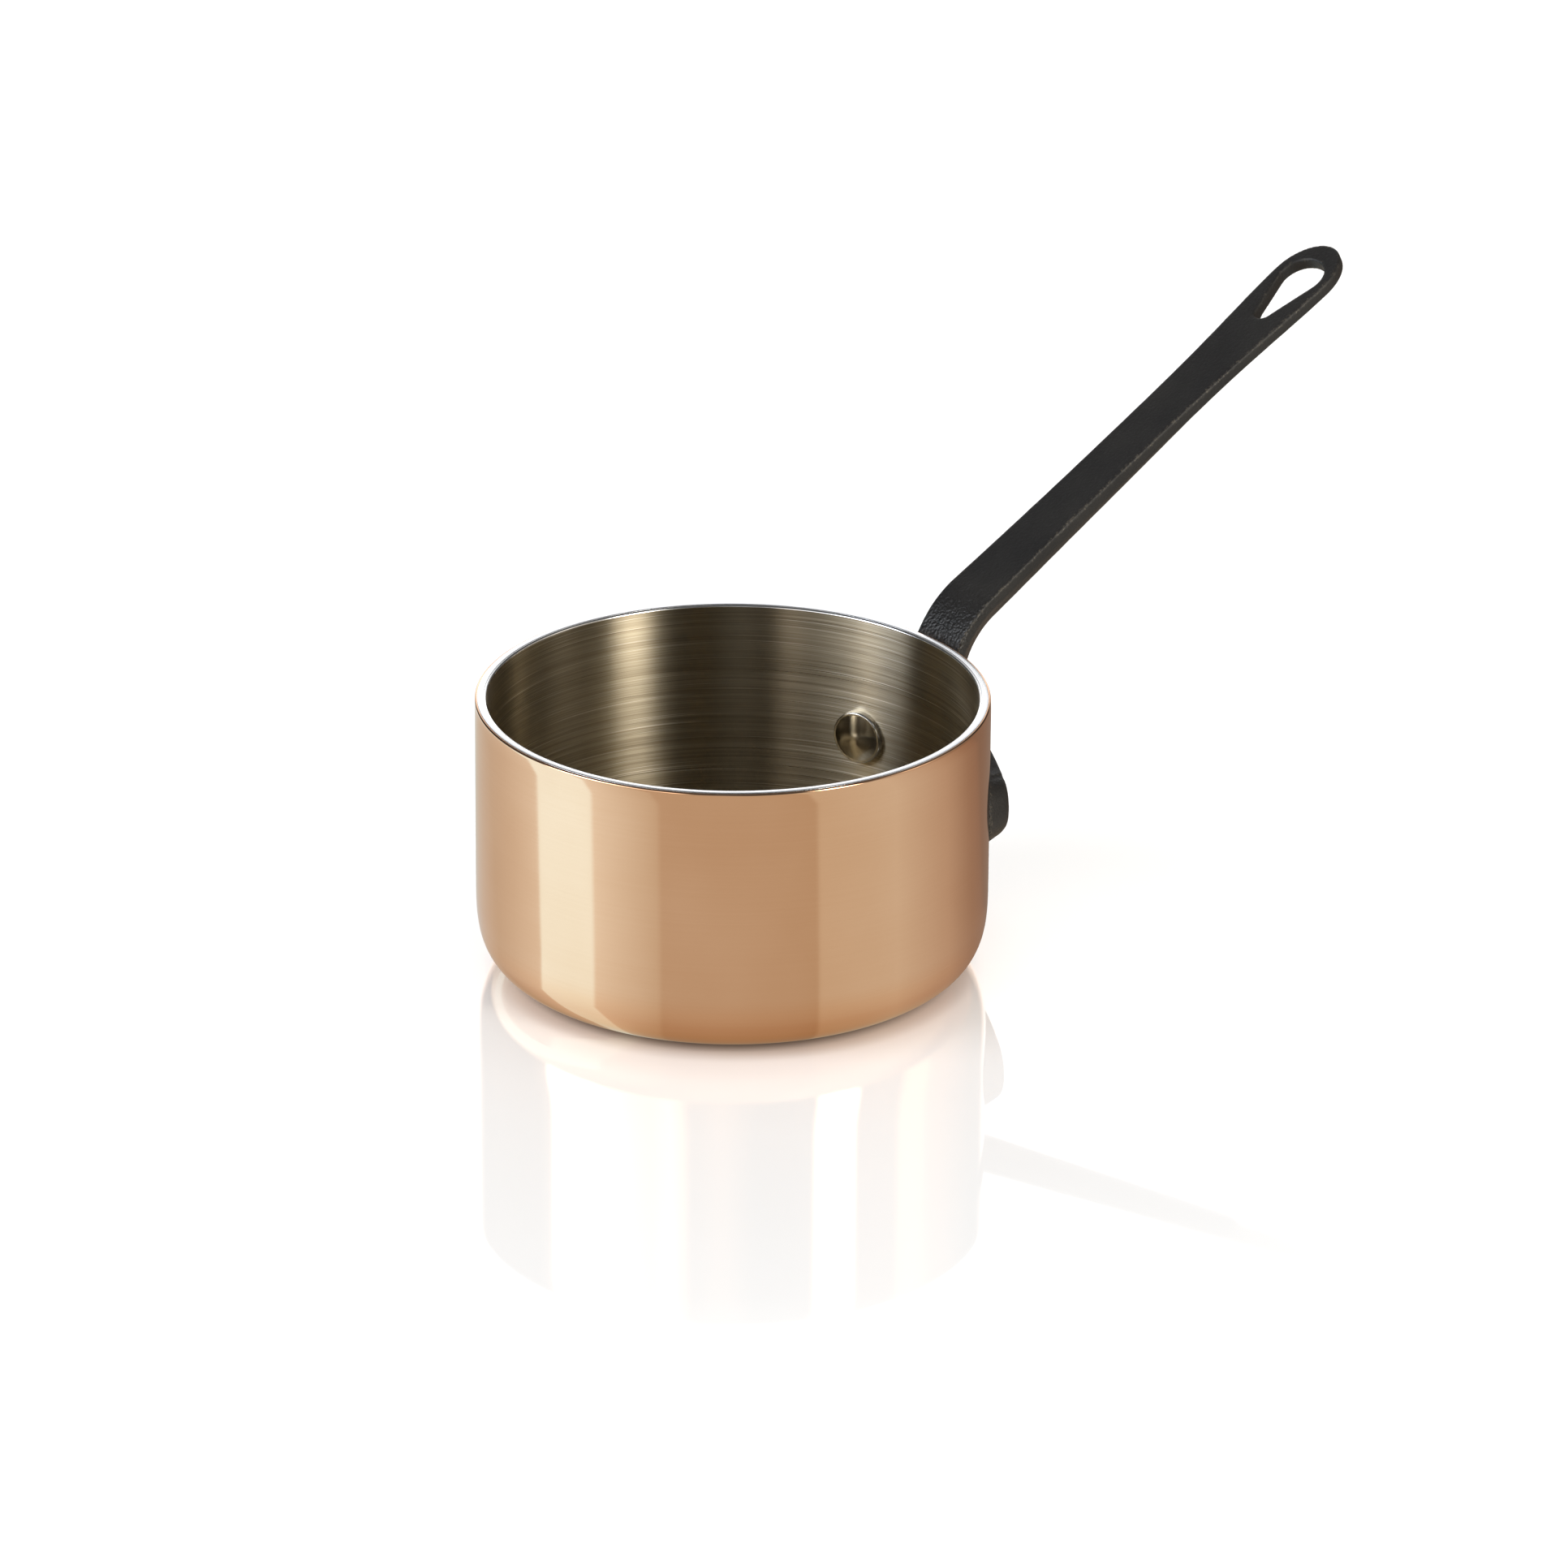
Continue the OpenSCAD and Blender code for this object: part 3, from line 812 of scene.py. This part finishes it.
def add_world():
    """A studio seen in the metal: vertical light banks round the pan, darker overhead."""
    world = bpy.data.worlds.new("studio")
    world.use_nodes = True
    bpy.context.scene.world = world
    nodes = Nodes(world.node_tree)
    heading = nodes.add("ShaderNodeTexCoord").outputs["Generated"]
    turned = nodes.add("ShaderNodeVectorRotate", {"Vector": heading, "Angle": -VIEW_AZIMUTH},
                       rotation_type="Z_AXIS").outputs[0]
    axes = nodes.add("ShaderNodeSeparateXYZ", {0: turned})
    turn = nodes.math("ARCTAN2", axes.outputs[0], nodes.math("MULTIPLY", axes.outputs[1], -1.0))
    high_stop = nodes.grey_range(turn, -math.pi, math.pi, 0.0, 1.0)
    high, back = (nodes.ramp(high_stop, [((turn_at + 180.0) / 360.0, c) for turn_at, c in banks])
                  for banks in (HIGH_BANKS, BACKDROP))
    overhead = nodes.grey_range(axes.outputs[2], *OVERHEAD_RISE, 0.0, 1.0)
    high = nodes.blend(overhead, high, (OVERHEAD, OVERHEAD, OVERHEAD, 1.0))
    station, tilt = wall_station(nodes, turned)
    low_stop = nodes.grey_range(station, -1.0, 1.0, 0.0, 1.0)
    low = nodes.ramp(low_stop, [((1.0 + math.sin(math.radians(turn_at / 2))) / 2, c)
                                for turn_at, c in LOW_BANKS])
    under = nodes.ramp(nodes.math("DIVIDE", tilt, UNDER_REACH), [(t / UNDER_REACH, c) for t, c in UNDER])
    low = nodes.add("ShaderNodeMix", {"Factor": 1.0, 6: low, 7: under}, data_type="RGBA",
                    blend_type="MULTIPLY").outputs[2]
    low_light = nodes.add("ShaderNodeBackground", {"Color": low, "Strength": LOW_STRENGTH})
    high_light = nodes.add("ShaderNodeBackground", {"Color": high, "Strength": HIGH_STRENGTH})
    fade = nodes.ramp(axes.outputs[2], BACKDROP_FADE)
    back_light = nodes.add("ShaderNodeBackground", {"Color": back, "Strength": nodes.math(
        "MULTIPLY", fade, BACKDROP_STRENGTH)})
    high_light = nodes.add("ShaderNodeAddShader", {0: high_light.outputs[0],
                                                   1: back_light.outputs[0]})
    raised = nodes.grey_range(axes.outputs[2], -HORIZON, HORIZON, 0.0, 1.0)
    lit = nodes.add("ShaderNodeMixShader", {0: raised, 1: low_light.outputs[0],
                                            2: high_light.outputs[0]})
    plain = nodes.add("ShaderNodeBackground", {"Color": (1.0, 1.0, 1.0, 1.0), "Strength": 1.0})
    seen = nodes.add("ShaderNodeLightPath").outputs["Is Camera Ray"]
    mixed = nodes.add("ShaderNodeMixShader", {0: seen, 1: lit.outputs[0], 2: plain.outputs[0]})
    nodes.add("ShaderNodeOutputWorld", {"Surface": mixed.outputs[0]})


def wall_station(nodes, heading):
    """Where on the outer wall, from -1 to 1 across, a heading is mirrored towards a viewer in front,
    and the tangent of the wall's tilt there.

    The banks are laid out by this, so their edges run straight down the wall and round its corner.
    """
    ahead = (0.0, math.cos(CAMERA_ELEVATION), -math.sin(CAMERA_ELEVATION))
    facing = nodes.add("ShaderNodeVectorMath", {0: heading, 1: ahead},
                       operation="SUBTRACT").outputs[0]
    facing = nodes.add("ShaderNodeVectorMath", {0: facing}, operation="NORMALIZE").outputs[0]
    axes = nodes.add("ShaderNodeSeparateXYZ", {0: facing})
    level = nodes.math("SQRT", nodes.math("ADD", nodes.math("POWER", axes.outputs[0], 2.0),
                                          nodes.math("POWER", axes.outputs[1], 2.0)))
    tilt = nodes.math("DIVIDE", nodes.math("MAXIMUM", nodes.math("MULTIPLY", axes.outputs[2], -1.0)),
                      level)
    bulge = nodes.math("POWER", nodes.math("ADD", nodes.math(
        "POWER", tilt, CORNER_POWER / (CORNER_POWER - 1)), 1.0), -1 / CORNER_POWER)
    radius = nodes.grey_range(bulge, 0.0, 1.0, 1 - CORNER_R / PAN_R, 1.0)
    across = nodes.math("MULTIPLY", nodes.math("DIVIDE", axes.outputs[0], level), radius)
    sweep = nodes.math("MULTIPLY", nodes.grey_range(tilt, *SWEEP_TILT, 0.0, SWEEP),
                       nodes.grey_range(across, *SWEEP_ACROSS, 0.0, 1.0))
    flare = nodes.math("MAXIMUM", axes.outputs[2])
    return nodes.math("ADD", nodes.math("SUBTRACT", across, sweep), flare), tilt


# The table's half width, and how far it lies below the pan's base so that the two don't flicker
TABLE_HALF = 9.0
TABLE_DROP = 0.00003
# The table by distance from the pan's middle, in units of TABLE_REACH metres: how far it is clear of the
# painted contact shadow, how much it glows, which is dimmed near the pan as painted shade, and what
# share of its look is mirror
TABLE_REACH = 0.25
TABLE_SHADE = [(0.0, 0.0), (0.19, 0.12), (0.200, 0.35), (0.216, 0.88), (0.236, 1.0)]
TABLE_GLOW = [(0.0, 0.0), (0.200, 0.05), (0.216, 0.18), (0.236, 0.26), (0.28, 0.31), (0.40, 0.31),
              (0.60, 0.31), (1.0, 0.30)]
TABLE_GLOSS = [(0.0, 0.42), (0.218, 0.42), (0.236, 0.32), (0.28, 0.29), (0.32, 0.27), (0.40, 0.235),
               (0.50, 0.21), (0.72, 0.17), (0.85, 0.10), (1.0, 0.05)]


def add_floor():
    """A glossy white table, too wide to show an edge, and clear when seen from below. A painted contact
    shadow darkens its colour and its mirror round the pan's base, and its glow is dimmed there as
    painted shade.
    """
    mesh = bpy.data.meshes.new("table")
    corners = [(x * TABLE_HALF, y * TABLE_HALF, -TABLE_DROP)
               for x, y in ((-1, -1), (1, -1), (1, 1), (-1, 1))]
    mesh.from_pydata(corners, [], [(0, 1, 2, 3)])
    table = bpy.data.objects.new("table", mesh)
    bpy.context.scene.collection.objects.link(table)
    table.visible_glossy = False
    material, nodes = new_material("white_acrylic")
    place = nodes.add("ShaderNodeTexCoord").outputs["Object"]
    cloud = nodes.noise(place, 6.0, detail=2.0)
    white = nodes.ramp(cloud, [(0.3, 0.80), (0.7, 0.82)])
    reach = nodes.add("ShaderNodeVectorMath", {0: place}, operation="LENGTH").outputs["Value"]
    reach = nodes.math("MULTIPLY", reach, 1 / TABLE_REACH)
    # Painted contact shadow: 0 under the pan, 1 out in the open; it darkens the diffuse colour and the
    # mirror
    clear_of_painted_shadow = nodes.ramp(reach, TABLE_SHADE)
    diffuse = nodes.add("ShaderNodeBsdfDiffuse", {
        "Color": nodes.blend(clear_of_painted_shadow, (0.0, 0.0, 0.0, 1.0), white)})
    # A glow that keeps the table white, dimmed near the pan as painted shade
    glow = nodes.add("ShaderNodeEmission", {"Color": nodes.ramp(reach, TABLE_GLOW)})
    body = nodes.add("ShaderNodeAddShader", {0: diffuse.outputs[0], 1: glow.outputs[0]})
    gloss = nodes.add("ShaderNodeBsdfGlossy", {"Color": clear_of_painted_shadow, "Roughness": 0.03})
    share = nodes.ramp(reach, TABLE_GLOSS)
    top = nodes.add("ShaderNodeMixShader", {0: share, 1: body.outputs[0], 2: gloss.outputs[0]})
    below = nodes.add("ShaderNodeNewGeometry").outputs["Backfacing"]
    clear = nodes.add("ShaderNodeBsdfTransparent")
    finish_material(nodes, nodes.add("ShaderNodeMixShader", {
        0: below, 1: top.outputs[0], 2: clear.outputs[0]}))
    mesh.materials.append(material)


def add_softbox(name, turn, elevation, distance, size, power):
    """A soft rectangular light at a turn from the camera, aimed at the pan."""
    data = bpy.data.lights.new(name, "AREA")
    data.shape, data.size, data.size_y = "RECTANGLE", size[0], size[1]
    data.energy = power
    light = bpy.data.objects.new(name, data)
    angle = math.radians(turn) + VIEW_AZIMUTH
    rise = math.radians(elevation)
    light.location = Vector((math.sin(angle) * math.cos(rise), -math.cos(angle) * math.cos(rise),
                             math.sin(rise))) * distance
    light.rotation_euler = (-light.location).to_track_quat("-Z", "Y").to_euler()
    light.visible_glossy = False
    bpy.context.scene.collection.objects.link(light)


def main():
    copper = polished_copper()
    pan_layer("copper_shell", 0.0, COPPER_T, copper)
    pan_layer("aluminium_core", COPPER_T, COPPER_T + CORE_T,
              turned_edge("aluminium_edge", (0.66, 0.67, 0.70), (0.90, 0.91, 0.93), 0.16, 0.30))
    pan_layer("steel_lining", COPPER_T + CORE_T, WALL_T, brushed_steel(),
              turned_edge("steel_edge", (0.76, 0.76, 0.76), (0.90, 0.90, 0.90), 0.12, 0.22))
    steel = polished_rivet_steel()
    rivet("rivet_left", RIVET_ANGLE, RIVET_Z, steel)
    rivet("rivet_right", -RIVET_ANGLE, RIVET_Z, steel)
    rivet("rivet_lower", 0.0, LOWER_RIVET_Z, steel)
    handle(cast_iron())
    add_floor()
    add_world()
    add_softbox("overhead_fill", 0.0, 80.0, 2.0, (1.6, 1.6), 14.0)
    add_camera()
    bpy.context.scene.view_settings.view_transform = "Standard"


main()
